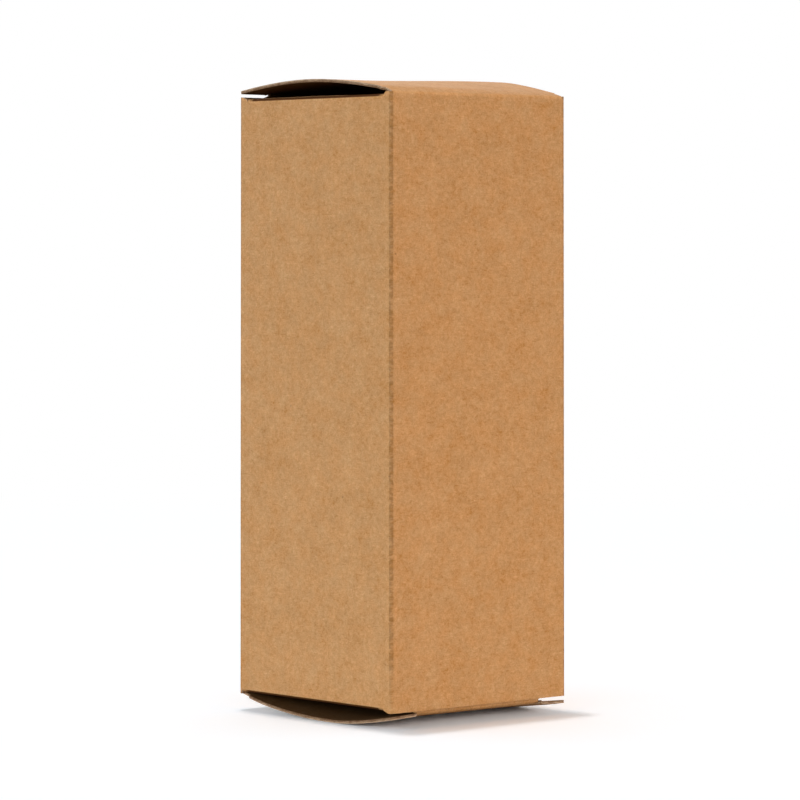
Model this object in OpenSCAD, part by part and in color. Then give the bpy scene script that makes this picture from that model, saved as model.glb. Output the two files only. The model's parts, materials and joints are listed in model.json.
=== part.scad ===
// Closed reverse tuck carton of plain kraft paperboard, standing upright.
// One die-cut sheet, creased, folded round and glued down one inside seam.
// The front of the frame (-Y) is the wall that carries the top closure. The bottom
// closure is carried by the back wall (+Y) and tucks in behind the front wall.
// Origin: centre of the footprint, on the surface that the carton stands on. +Z is up.

/* [Carton] */
// Outside width, left wall to right wall
width = 35; // [30:0.5:60]
// Outside depth, front wall to back wall
depth = 35; // [30:0.5:60]
// Height of the side walls between the dust flap creases at the two ends
wall_h = 90.5; // [60:0.5:160]
// Thickness of the paperboard
board_t = 0.45; // [0.35:0.05:0.55]

/* [Creases] */
// How far a closure's crease stands beyond the dust flap creases
closure_crease_lift = 0.35; // [0.25:0.05:0.5]
// How far the cut edge that a tuck flap slides behind stands beyond the dust flap creases
cut_edge_lift = 0.31; // [0.1:0.05:0.5]
// How far the short cut edges beside a closure's crease stand beyond the dust flap creases
corner_lift = 0.25; // [0.1:0.05:0.4]
// Radius of the bead that a crease raises on the inside of its fold
bead_r = 0.35; // [0.2:0.05:0.5]
// Running gap at a crease that works as a hinge
crease_gap = 0.03; // [0.02:0.01:0.1]

/* [Glue seam] */
// Width of the glue flap, from its crease to its free edge
glue_flap_w = 10; // [6:0.5:14]
// Slope of the glue flap's two ends, in degrees
glue_flap_taper = 15; // [5:1:30]
// Distance from the glue flap's ends to the dust flap creases, at its own crease
glue_flap_end = 1.2; // [1:0.1:4]
// Thickness of the dried glue between the glue flap and the right wall
glue_t = 0.06; // [0.04:0.01:0.12]
// Margin of glue flap left dry round the glue
glue_margin = 1.5; // [0.5:0.25:3]
// How far the right wall's cut edge stops short of the back wall's outer face
seam_setback = 0.1; // [0:0.05:0.3]

/* [Dust flaps] */
// Length of a dust flap, from its wall's outer face to its tip
dust_len = 14; // [10:0.5:14.5]
// Distance from the outer corner to the dust flap on the side of the closure's crease
dust_hinge_gap = 1.1; // [0.8:0.1:2]
// Distance from the outer corner to the dust flap on the side of the tuck flap
dust_tuck_gap = 1.7; // [1.5:0.1:4]
// Length of the straight shoulder that the tuck flap's end snaps behind
dust_shoulder = 3; // [2:0.25:3.5]
// Depth of the 45 degree cut after the shoulder
dust_cut = 4; // [2:0.5:5]
// Slope of the dust flap's two long edges, in degrees
dust_taper = 15; // [8:1:20]
// Radius of the corners at a dust flap's tip
dust_tip_r = 2; // [1:0.5:3]

/* [Closures] */
// How far a closure's sides stay inside the outer faces of the side walls
closure_inset = 0.25; // [0.1:0.05:0.5]
// Clearance between the ends of a closure's crease and the side walls
closure_side_gap = 0.06; // [0.04:0.01:0.2]
// Length of the narrow stretch of a closure next to its crease
closure_notch = 1.5; // [1.2:0.1:3]
// Length of the lock slits at the ends of a tuck crease
slit_len = 5; // [3:0.25:7]
// Width of the lock slits, between an ear and the shoulder of the tuck flap below it
slit_w = 0.3; // [0.2:0.05:0.5]
// How far the ears' tips stay inside the outer face of the wall that they stand over
ear_setback = 0.02; // [0:0.01:0.4]

/* [Tuck flaps] */
// Length of a tuck flap, from its fold to its free edge
tuck_len = 12; // [9:0.5:13]
// Radius of a tuck flap's free corners
tuck_corner_r = 8; // [4:0.5:9]
// Radius of the tuck fold, at the middle of the board
tuck_fold_r = 0.45; // [0.35:0.05:0.7]
// Gap between a tuck flap and the inner face of the wall that it slides behind
tuck_gap = 0.2; // [0.15:0.05:0.4]
// Gap between a tuck flap's ends and the glue flap's crease bead
tuck_side_gap = 0.1; // [0.05:0.05:0.5]

/* [Bulge of the closures] */
// Height of the top closure's crest above the dust flap creases
top_bulge = 3.05; // [1.5:0.05:4]
// Height of the top closure's tuck crease above the dust flap creases
top_tuck_h = 1.35; // [1:0.05:1.4]
// Slope of the top closure at its crease, in degrees
top_rise_angle = 16.5; // [14:0.5:25]
// Slope of the top closure at its tuck crease, in degrees
top_fall_angle = 9.5; // [8:0.5:16]
// Depth of the bottom closure's standing face below the dust flap creases
bottom_bulge = 2.85; // [2:0.05:4]
// Depth of the bottom closure's tuck crease below the dust flap creases
bottom_tuck_h = 1.5; // [1.1:0.05:1.8]
// Slope of the bottom closure at its crease, in degrees
bottom_rise_angle = 13.5; // [12.5:0.5:25]
// Slope of the bottom closure at its tuck crease, in degrees
bottom_fall_angle = 11; // [10:0.5:16]

/* [Hidden] */
$fn = 48;
kraft = [0.76, 0.57, 0.38];
dried_glue = [0.88, 0.85, 0.76];
joint_overlap = 0.01;

// Where a closure is level, as shares of the span from its crease to its tuck crease
top_level = [0.50, 0.57];
bottom_level = [0.435, 0.72];

// Steps along a closure's curves, round its tuck fold and round a flap's corners
curve_steps = 12;
fold_steps = 6;
corner_steps = 8;

// Levels of the dust flap creases' outer faces
z_bottom = bottom_bulge;
z_top = z_bottom + wall_h;

// Inner faces of the walls
in_x = width / 2 - board_t;
in_y = depth / 2 - board_t;

// In the frame of one end: z = 0 at the dust flap creases, +z out of the carton, the closure's
// crease on the -y side and its tuck flap on the +y side. Both ends use the same shapes.
hinge_y = -depth / 2 + board_t / 2;
hinge_z = closure_crease_lift - board_t / 2;
hinge_seat_z = hinge_z - board_t / 2 - crease_gap;

// A tuck flap curls round the closure's crease, so that it slides out past the wall's cut edge
// as the closure swings: this is the radius of the curl at the middle of the board.
tuck_curl_r = in_y - tuck_gap - board_t / 2 - hinge_y;
tuck_curl_angle = tuck_len / tuck_curl_r * 180 / PI;

// Glue flap: its outer face lies on the glue, which lies on the right wall's inner face
glue_flap_x = in_x - glue_t - board_t;
tuck_half = glue_flap_x - bead_r - tuck_side_gap;
closure_half = width / 2 - closure_inset;
crease_half = in_x - closure_side_gap;
slit_half = width / 2 - slit_len;

function unit(v) = v / norm(v);

// Arc of radius r that rounds the corner b between the points a and c
function round_corner(a, b, c, r) =
    let (
        u = unit(a - b),
        v = unit(c - b),
        half = acos(u * v) / 2,
        centre = b + unit(u + v) * r / sin(half),
        p0 = b + u * r / tan(half) - centre,
        p1 = b + v * r / tan(half) - centre,
        a0 = atan2(p0.y, p0.x),
        sweep = (atan2(p1.y, p1.x) - a0 + 540) % 360 - 180
    )
    [for (i = [0:corner_steps])
        let (a = a0 + sweep * i / corner_steps)
        centre + r * [cos(a), sin(a)]];

// Points [y, z, slope] along a curve that leaves p0, turns towards p1 and ends at p2
function bend(p0, p1, p2) =
    [for (i = [0:curve_steps])
        let (
            s = i / curve_steps,
            p = (1 - s) * (1 - s) * p0 + 2 * s * (1 - s) * p1 + s * s * p2,
            d = (1 - s) * (p1 - p0) + s * (p2 - p1)
        )
        [p.x, p.y, atan2(d.y, d.x)]];

// Centre of the tuck fold: its outside touches the curl of the tuck flap
function fold_centre(tuck_h, fall) =
    let (z = tuck_h - board_t / 2 - tuck_fold_r * cos(fall))
    [hinge_y + sqrt(pow(tuck_curl_r - tuck_fold_r, 2) - pow(z - hinge_z, 2)), z];

// Where the closure's panel ends and its tuck fold begins
function fold_start(tuck_h, fall) = fold_centre(tuck_h, fall) + tuck_fold_r * [sin(fall), cos(fall)];

// Middle line of a closure's panel: up from its crease, level over its crest, down to its tuck fold
function panel_line(crest, tuck_h, rise, fall, level) =
    let (
        z_crest = crest - board_t / 2,
        start = [hinge_y, hinge_z],
        end = fold_start(tuck_h, fall),
        span = end.x - hinge_y,
        level_start = [hinge_y + level[0] * span, z_crest],
        level_end = [hinge_y + level[1] * span, z_crest]
    )
    concat(
        bend(start, [hinge_y + (z_crest - hinge_z) / tan(rise), z_crest], level_start),
        bend(level_end, [end.x - (z_crest - end.y) / tan(fall), z_crest], end)
    );

// The ears go straight on from the panel
function ear_line(tuck_h, fall) =
    let (
        start = fold_start(tuck_h, fall),
        reach = (depth / 2 - ear_setback - board_t / 2 * sin(fall) - start.x) / cos(fall)
    )
    [[start.x, start.y, -fall], [start.x + reach * cos(fall), start.y - reach * sin(fall), -fall]];

// Points [y, z, slope] along an arc, clockwise
function clockwise(centre, r, from, to, steps) =
    [for (i = [0:steps])
        let (a = from + (to - from) * i / steps)
        [centre.x + r * cos(a), centre.y + r * sin(a), a - 90]];

// The tuck fold and the tuck flap's curl
function tuck_line(tuck_h, fall) =
    let (
        hinge = [hinge_y, hinge_z],
        centre = fold_centre(tuck_h, fall),
        meet = atan2(centre.y - hinge_z, centre.x - hinge_y)
    )
    concat(
        clockwise(centre, tuck_fold_r, 90 - fall, meet, fold_steps),
        clockwise(hinge, tuck_curl_r, meet, meet - tuck_curl_angle, curve_steps)
    );

top_line = panel_line(top_bulge, top_tuck_h, top_rise_angle, top_fall_angle, top_level);
bottom_line = panel_line(bottom_bulge, bottom_tuck_h, bottom_rise_angle, bottom_fall_angle, bottom_level);

// Section of the board along a middle line
function board_section(line) =
    let (
        last = len(line) - 1,
        offset_by = function (p, d) [p[0] - d * sin(p[2]), p[1] + d * cos(p[2])]
    )
    concat(
        [for (i = [0:last]) offset_by(line[i], board_t / 2)],
        [for (i = [last:-1:0]) offset_by(line[i], -board_t / 2)]
    );

// Extrudes a section drawn in (y, z) along x, centred
module along_x(length) {
    rotate([90, 0, 90])
        linear_extrude(height = length, center = true)
            children();
}

module rod_along_x(r, length) {
    rotate([0, 90, 0])
        cylinder(r = r, h = length, center = true);
}

// Puts shapes drawn in the frame of one end at the top of the carton or at its bottom
module at_top() {
    translate([0, 0, z_top])
        children();
}

module at_bottom() {
    translate([0, 0, z_bottom])
        rotate([180, 0, 0])
            children();
}

// Fold between two panels at right angles, round outside and with the crease's bead inside.
// It runs along +z from the origin, which is the inner corner; the outside is towards -x, -y.
module fold(length) {
    intersection() {
        cylinder(r = board_t, h = length);
        translate([-board_t, -board_t, 0])
            cube([board_t, board_t, length]);
    }
    cylinder(r = bead_r, h = length);
}

module corner_fold(side_x, side_y, z_from, z_to) {
    translate([side_x * in_x, side_y * in_y, z_from])
        scale([-side_x, -side_y, 1])
            fold(z_to - z_from);
}

// Front and back walls: cut straight on the tuck side, creased for a closure on the other
module front_wall() {
    translate([-in_x, -depth / 2, z_bottom - cut_edge_lift])
        cube([2 * in_x, board_t, wall_h + cut_edge_lift + hinge_seat_z]);
}

module back_wall() {
    translate([-in_x, in_y, z_bottom - hinge_seat_z])
        cube([in_x + glue_flap_x, board_t, wall_h + cut_edge_lift + hinge_seat_z]);
}

// Side walls, up to where the dust flaps' folds begin. The right wall ends in the seam's cut edge.
module left_wall() {
    translate([-width / 2, -in_y, z_bottom + board_t])
        cube([board_t, 2 * in_y, wall_h - 2 * board_t]);
}

module right_wall() {
    translate([in_x, -in_y, z_bottom + board_t])
        cube([board_t, in_y + depth / 2 - seam_setback, wall_h - 2 * board_t]);
}

// Glue flap, folded from the back wall and lying inside the right wall
module glue_flap() {
    reach = glue_flap_w - board_t;
    end_drop = reach * tan(glue_flap_taper);
    z_low = z_bottom + glue_flap_end;
    z_high = z_top - glue_flap_end;
    translate([glue_flap_x + board_t / 2, 0, 0])
        along_x(board_t)
            polygon([
                [in_y, z_low],
                [in_y, z_high],
                [in_y - reach, z_high - end_drop],
                [in_y - reach, z_low + end_drop]
            ]);
    translate([glue_flap_x, in_y, z_low])
        scale([-1, -1, 1])
            fold(z_high - z_low);
}

// Plan of a dust flap in (distance from the wall's outer face, y)
module dust_flap_plan() {
    y_hinge = -depth / 2 + dust_hinge_gap;
    y_tuck = depth / 2 - dust_tuck_gap;
    reach = dust_len - board_t;
    hinge_tip = [dust_len, y_hinge + reach * tan(dust_taper)];
    cut_start = [board_t + dust_shoulder, y_tuck];
    cut_end = cut_start + [dust_cut, -dust_cut];
    tuck_tip = [dust_len, cut_end.y - (dust_len - cut_end.x) * tan(dust_taper)];
    polygon(concat(
        [[board_t - joint_overlap, y_hinge], [board_t, y_hinge]],
        round_corner([board_t, y_hinge], hinge_tip, tuck_tip, dust_tip_r),
        round_corner(hinge_tip, tuck_tip, cut_end, dust_tip_r),
        [cut_end, cut_start, [board_t - joint_overlap, y_tuck]]
    ));
}

// Left dust flap of one end, with its fold
module dust_flap() {
    y_hinge = -depth / 2 + dust_hinge_gap;
    fold_length = depth - dust_hinge_gap - dust_tuck_gap;
    translate([-width / 2, 0, -board_t])
        linear_extrude(height = board_t)
            dust_flap_plan();
    translate([-in_x, y_hinge, -board_t])
        rotate([-90, 0, 0])
            fold(fold_length);
}

// Short cut edges of the left wall beside a dust flap, at one end
module wall_corners(hinge_end, tuck_end) {
    translate([-width / 2, -hinge_end, -board_t])
        cube([board_t, hinge_end - depth / 2 + dust_hinge_gap, board_t + corner_lift]);
    translate([-width / 2, depth / 2 - dust_tuck_gap, -board_t])
        cube([board_t, tuck_end - depth / 2 + dust_tuck_gap, board_t + cut_edge_lift]);
}

// Outer half of a corner fold, carried on past the end of the closure's crease
module corner_stub() {
    translate([-in_x, -in_y, -board_t])
        intersection() {
            cylinder(r = board_t, h = board_t + corner_lift);
            translate([-board_t, -board_t, 0])
                cube([board_t, board_t, board_t + corner_lift]);
        }
}

// Everything that the left and right walls carry at one end; the seam is on the right wall,
// at its tuck side at the top of the carton and at its hinge side at the bottom
module side_walls_end(seam_at_tuck_side) {
    seam_end = depth / 2 - seam_setback;
    dust_flap();
    wall_corners(in_y, in_y);
    corner_stub();
    mirror([1, 0, 0]) {
        dust_flap();
        wall_corners(seam_at_tuck_side ? in_y : seam_end, seam_at_tuck_side ? seam_end : in_y);
        if (seam_at_tuck_side)
            corner_stub();
    }
}

module sleeve() {
    color(kraft) {
        front_wall();
        back_wall();
        left_wall();
        right_wall();
        glue_flap();
        corner_fold(-1, -1, z_bottom - cut_edge_lift, z_top + hinge_seat_z);
        corner_fold(1, -1, z_bottom - cut_edge_lift, z_top + hinge_seat_z);
        corner_fold(-1, 1, z_bottom - hinge_seat_z, z_top + cut_edge_lift);
        at_top()
            side_walls_end(true);
        at_bottom()
            side_walls_end(false);
    }
}

// Film of dried glue between the glue flap and the right wall
module glue_line() {
    reach = glue_flap_w - board_t;
    end_drop = reach * tan(glue_flap_taper) + glue_margin;
    z_low = z_bottom + glue_flap_end + end_drop;
    z_high = z_top - glue_flap_end - end_drop;
    color(dried_glue)
        translate([in_x - glue_t, in_y - reach + glue_margin, z_low])
            cube([glue_t, reach - 2 * glue_margin, z_high - z_low]);
}

// Outline of a tuck flap and its fold in (x, z): full width below the slits, with round corners
module tuck_outline(z_fold, z_shoulder, z_tip) {
    left_corner = [-tuck_half, z_tip];
    right_corner = [tuck_half, z_tip];
    polygon(concat(
        [[-slit_half, z_fold], [-slit_half, z_shoulder], [-tuck_half, z_shoulder]],
        round_corner([-tuck_half, 0], left_corner, right_corner, tuck_corner_r),
        round_corner(left_corner, right_corner, [tuck_half, 0], tuck_corner_r),
        [[tuck_half, z_shoulder], [slit_half, z_shoulder], [slit_half, z_fold]]
    ));
}

module tuck_flap(tuck_h, fall) {
    ear = ear_line(tuck_h, fall)[1];
    line = tuck_line(tuck_h, fall);
    tip = line[len(line) - 1];
    intersection() {
        along_x(width)
            polygon(board_section(line));
        translate([0, depth, 0])
            rotate([90, 0, 0])
                linear_extrude(height = depth)
                    tuck_outline(tuck_h + board_t, ear.y - board_t / 2 - slit_w, tip[1] - board_t / 2);
    }
}

// Ears beside the lock slits
module ears(tuck_h, fall) {
    for (side = [-1, 1])
        translate([side * (closure_half + slit_half) / 2, 0, 0])
            along_x(closure_half - slit_half)
                polygon(board_section(ear_line(tuck_h, fall)));
}

// One closure with its ears and tuck flap, in the frame of one end
module closure(line, tuck_h, fall) {
    color(kraft)
        difference() {
            union() {
                translate([0, hinge_y, hinge_z])
                    rod_along_x(board_t / 2, 2 * crease_half);
                along_x(2 * closure_half)
                    polygon(board_section(line));
                ears(tuck_h, fall);
                tuck_flap(tuck_h, fall);
            }
            for (side = [0, 1])
                mirror([side, 0, 0])
                    translate([crease_half, hinge_y - board_t, hinge_z - board_t])
                        cube([width, board_t + closure_notch, 2 * board_t + closure_notch]);
        }
}

module top_closure() {
    at_top()
        closure(top_line, top_tuck_h, top_fall_angle);
}

module bottom_closure() {
    at_bottom()
        closure(bottom_line, bottom_tuck_h, bottom_fall_angle);
}

sleeve();
glue_line();
top_closure();
bottom_closure();
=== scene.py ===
"""Looks of a slim kraft reverse tuck carton, closed and upright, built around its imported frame.

The whole carton is one die-cut sheet. Each piece of board here is a mid surface of quads whose corners
carry an outer point, an inner point and their place on the flat sheet, so that the paper's grain runs on
over folds. Lengths are in millimetres until a mesh is made.
"""

import json
import math
from collections import namedtuple

import bpy
import numpy as np
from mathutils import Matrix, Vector, noise


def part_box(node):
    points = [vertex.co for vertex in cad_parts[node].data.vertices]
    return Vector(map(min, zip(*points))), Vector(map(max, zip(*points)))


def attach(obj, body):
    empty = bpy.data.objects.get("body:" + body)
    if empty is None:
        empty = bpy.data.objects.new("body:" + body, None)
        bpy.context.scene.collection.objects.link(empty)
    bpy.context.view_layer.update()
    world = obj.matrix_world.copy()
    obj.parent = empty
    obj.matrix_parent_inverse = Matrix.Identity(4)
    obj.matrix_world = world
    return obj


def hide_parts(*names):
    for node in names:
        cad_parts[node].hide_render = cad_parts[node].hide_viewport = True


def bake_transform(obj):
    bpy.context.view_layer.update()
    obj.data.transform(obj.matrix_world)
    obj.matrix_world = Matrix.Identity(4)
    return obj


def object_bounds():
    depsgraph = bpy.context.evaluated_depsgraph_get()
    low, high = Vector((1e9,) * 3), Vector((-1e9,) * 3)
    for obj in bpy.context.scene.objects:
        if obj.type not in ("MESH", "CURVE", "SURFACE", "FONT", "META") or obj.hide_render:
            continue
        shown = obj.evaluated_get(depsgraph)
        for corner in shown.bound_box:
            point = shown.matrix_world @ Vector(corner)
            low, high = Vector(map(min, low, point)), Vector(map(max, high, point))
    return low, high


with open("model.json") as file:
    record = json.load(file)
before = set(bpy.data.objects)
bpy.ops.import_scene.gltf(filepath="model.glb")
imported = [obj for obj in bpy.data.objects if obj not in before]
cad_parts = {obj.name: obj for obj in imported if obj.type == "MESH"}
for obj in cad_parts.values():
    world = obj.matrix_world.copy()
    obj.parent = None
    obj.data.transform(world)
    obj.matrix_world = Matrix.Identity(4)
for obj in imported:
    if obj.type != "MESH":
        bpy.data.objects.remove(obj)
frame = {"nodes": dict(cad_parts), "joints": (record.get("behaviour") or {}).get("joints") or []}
cad_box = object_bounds()

MM = 0.001

# Sizes read from the frame
joints = {j["name"]: j for j in frame["joints"]}
top_hinge = np.array(joints["top_closure_hinge"]["pos_m"]) / MM
sleeve_low, sleeve_high = (np.array(corner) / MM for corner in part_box("sleeve"))
HALF_W = sleeve_high[0]
HALF_D = -sleeve_low[1]
HINGE_Y = top_hinge[1]
BOARD = 2 * (HALF_D + HINGE_Y)

# Lifts of the cut edges beyond the dust flap creases, as in the part's source
CUT_EDGE_LIFT = 0.31
CORNER_LIFT = 0.32
Z_BOTTOM = sleeve_low[2] + CUT_EDGE_LIFT
Z_TOP = sleeve_high[2] - CUT_EDGE_LIFT
HINGE_Z = top_hinge[2] - Z_TOP

# Room for loose fibres: the CAD box, less a little
CAD_LOW = np.array(cad_box[0]) / MM + 0.03
CAD_HIGH = np.array(cad_box[1]) / MM - 0.03

# Folds: radius at the middle of the board of the walls' folds and of the dust flaps' and closures' creases
WALL_FOLD_R = 0.16
CREASE_R = 0.35
FOLD_STEPS = 8

# The bead inside each fold, and outside a wall's fold the pressed groove between two low ridges
WALL_BEAD_R = 0.31
WALL_BEAD_REACH = 0.6
BEAD_H = 0.10
BEAD_W = 0.36
GROOVE_D = 0.03
GROOVE_W = 0.2
RIDGE_H = 0.015
RIDGE_AT = 0.64
RIDGE_W = 0.16

# Glue seam
GLUE_FLAP_W = 10
GLUE_FLAP_END = 1.2
GLUE_FLAP_TAPER = 15
GLUE_T = 0.06
SEAM_SETBACK = 0.1

# Dust flaps, in the frame of one end: the closure's crease on the -y side, its tuck flap on the +y side
DUST_LEN = 14
DUST_HINGE_Y = {1: -HALF_D + 1.5, -1: -HALF_D + 0.6}
DUST_HINGE_CLEAR = -HALF_D + 1.5
DUST_TUCK_Y = HALF_D - 1.7
DUST_SHOULDER = 3
DUST_CUT = 4
DUST_TAPER = 15
DUST_TIP_R = 2
DUST_RISE = 0.22
DUST_RISE_OVER = 3.0

# How dark the lines are against a wall's fold, whose pressed line carries painted shade of its groove: the
# dust flaps' creases, where the dark line is painted shade under the closure, the near edge's foot, and the
# tuck folds.
# A dust flap's painted shade is narrower on its wall's side and spreads on the flap's side.
DUST_PAINTED_SHADE = 2.45
DUST_NARROW = 1.5
DUST_SPREAD = 0.3
FOOT_PRESS_AND_SHADE = 0.25
TUCK_PRESS_AND_SHADE = 0.6

# Closures
CLOSURE_HALF = HALF_W - 0.1
CREASE_HALF = HALF_W - BOARD - 0.06
LIP_HALF = CREASE_HALF - 0.03
CREASE_NOTCH = 1.5
LIP = 0.6
SLIT_HALF = HALF_W - 5
EAR_SETBACK = 0.02
TUCK_LEN = 12
TUCK_CORNER_R = 8
TUCK_FOLD_R = 0.45
TUCK_GAP = 0.2
TUCK_HALF = HALF_W - 2 * BOARD - GLUE_T - 0.35 - 0.1
SHOULDER_START = 0.1
SHOULDER_END = 2.2
SHOULDER_SLOPE = 0.3
TUCK_CURL_R = HALF_D - BOARD - TUCK_GAP - BOARD / 2 - HINGE_Y

# Outer profile of each closure at its left and its right side: slope at the crease, then knots of
# (share of the depth from the crease, height beyond the dust creases, slope), then slope at the tuck fold
TOP_LEFT = (20.0, [(0.10, 1.36, 8.0), (0.54, 2.62, 0.0)], 8.0)
TOP_RIGHT = (19.0, [(0.106, 1.22, 12.0), (0.31, 2.55, 8.5), (0.52, 3.04, 0.0)], 9.0)
BOTTOM_LEFT = (15.5, [(0.17, 1.66, 9.0), (0.60, 2.84, 0.0)], 10.0)
BOTTOM_RIGHT = BOTTOM_LEFT

# Where across the top closure its right side's fuller bulge begins and ends
FULLER_FROM = -10.0
FULLER_TO = 15.0

# Height of each tuck fold at its left and right end, and of each ear at its slit and its tip
TOP_FOLD_H = (1.35, 1.40)
TOP_EAR_H = ((1.40, 1.43), (1.44, 1.48))
BOTTOM_FOLD_H = (1.14, 1.25)
BOTTOM_EAR_H = ((1.28, 1.47), (1.40, 1.60))
EAR_STEP = 0.15
EAR_ROUND = 0.15

# Shear of the section at the foot
SKEW = 0.010

# How far the cut edges' unevenness goes
SLEEVE_RAGGED = 0.05
CLOSURE_RAGGED = 0.07

# Mesh steps, and the angle from which an edge shades sharp
WALL_STEP = 0.7
ROW_STEP = 1.0
CLOSURE_STEP = 0.3
RIM_LEVELS = 3
FAR_FROM_CREASE = 9.0
SHARP_ANGLE = 48


def smoothstep(x):
    x = np.clip(x, 0, 1)
    return x * x * (3 - 2 * x)


def bell(x, width):
    return np.exp(-((x / width) ** 2))


def steps_between(start, end, step):
    """Evenly spaced values from start to end, about a step apart."""
    return np.linspace(start, end, max(2, int(round(abs(end - start) / step)) + 1))


def outer_relief(distance):
    """A crease's pressed groove with a ridge on each side, on the outside of the fold."""
    ridges = bell(distance - RIDGE_AT, RIDGE_W) + bell(distance + RIDGE_AT, RIDGE_W)
    return RIDGE_H * ridges - GROOVE_D * bell(distance, GROOVE_W)


def inner_relief(distance):
    """The bead that the same crease raises on the inside."""
    return BEAD_H * bell(distance, BEAD_W)


def both_faces(middle, normal, crease):
    """Outer and inner points of the board along a middle line, with the bead of its crease."""
    outer = middle + normal * BOARD / 2
    inner = middle - normal * (BOARD / 2 + inner_relief(crease))[..., None]
    return outer, inner


def skewed(points):
    """The tube leans into a slight rhombus towards its foot."""
    lean = SKEW * (1 - points[..., 2] / sleeve_high[2])
    out = points.copy()
    out[..., 0] -= lean * points[..., 1]
    out[..., 1] -= lean * points[..., 0]
    return out


class Sheet:
    """Grids of one piece of board. They join where their corners coincide."""

    def __init__(self):
        self.corners = []
        self.quads = []
        self.count = 0

    def add(self, outer, inner, flat, crease, press_and_shade, keep=None):
        rows, cols = outer.shape[:2]
        index = self.count + np.arange(rows * cols).reshape(rows, cols)
        quads = np.stack([index[:-1, :-1], index[:-1, 1:], index[1:, 1:], index[1:, :-1]], -1)
        self.quads.append(quads.reshape(-1, 4) if keep is None else quads[keep])
        parts = [outer, inner, flat, crease[..., None], np.broadcast_to(press_and_shade, crease.shape)[..., None]]
        self.corners.append(np.concatenate(parts, -1).reshape(rows * cols, -1))
        self.count += rows * cols

    def joined(self):
        """Corners without doubles or strays, and the quads between them."""
        corners = np.concatenate(self.corners)
        quads = np.concatenate(self.quads)
        key = np.round(corners[:, :6], 4)
        _, first, merged = np.unique(key, axis=0, return_index=True, return_inverse=True)
        quads = merged.reshape(-1)[quads]
        used, quads = np.unique(quads, return_inverse=True)
        return corners[first][used], quads.reshape(-1, 4)


def edge_loops(quads):
    """Directed edges that only one quad uses."""
    edges = np.concatenate([quads[:, [k, (k + 1) % 4]] for k in range(4)])
    there = {(a, b) for a, b in edges.tolist()}
    return np.array(sorted((a, b) for a, b in there if (b, a) not in there))


def raggedness(points, layer):
    """Small unevenness of a cut edge: torn fibres over a slow waver."""
    values = []
    for p in points:
        coarse = noise.noise(Vector(p * 1.3) + Vector((0, 0, 7.0 * layer)))
        fine = noise.noise(Vector(p * 4.1) + Vector((3.0 * layer, 0, 0)))
        values.append(0.45 * coarse + 0.55 * fine)
    return np.array(values)


def fibre_tubes(rng, roots, outward, normals, flats, count):
    """Loose fibres that stand out of a cut edge: thin curved tubes, each rooted in the board."""
    points, faces, places = [], [], []
    rings, sides = 6, 4
    for pick in rng.choice(len(roots), count):
        out, up = outward[pick], normals[pick]
        along = np.cross(out, up)
        length = rng.uniform(0.2, 0.6)
        lean = rng.uniform(-0.9, 0.9)
        lift = rng.uniform(-0.5, 0.6)
        direction = out + along * lean + up * lift
        direction /= np.linalg.norm(direction)
        curl = np.cross(direction, rng.normal(size=3)) * rng.uniform(0.1, 0.45)
        thickness = rng.uniform(0.010, 0.018)
        side_a = np.cross(direction, up)
        side_a /= np.linalg.norm(side_a)
        side_b = np.cross(direction, side_a)
        base = len(points)
        root = roots[pick] + up * rng.uniform(-0.35, 0.35) * BOARD - direction * 0.06
        share = np.linspace(0, 1, rings)[:, None]
        centres = root + direction * length * share + curl * length * share**2
        if (centres < CAD_LOW).any() or (centres > CAD_HIGH).any():
            continue
        for ring, centre in enumerate(centres):
            radius = thickness * (1 - 0.7 * ring / (rings - 1))
            for side in range(sides):
                turn = 2 * math.pi * side / sides
                points.append(centre + radius * (math.cos(turn) * side_a + math.sin(turn) * side_b))
                places.append(flats[pick])
        for ring in range(rings - 1):
            for side in range(sides):
                a = base + ring * sides + side
                b = base + ring * sides + (side + 1) % sides
                faces.append([a, b, b + sides, a + sides])
        faces.append([base + side for side in reversed(range(sides))])
        faces.append([base + (rings - 1) * sides + side for side in range(sides)])
    return np.array(points), faces, np.array(places)


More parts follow.
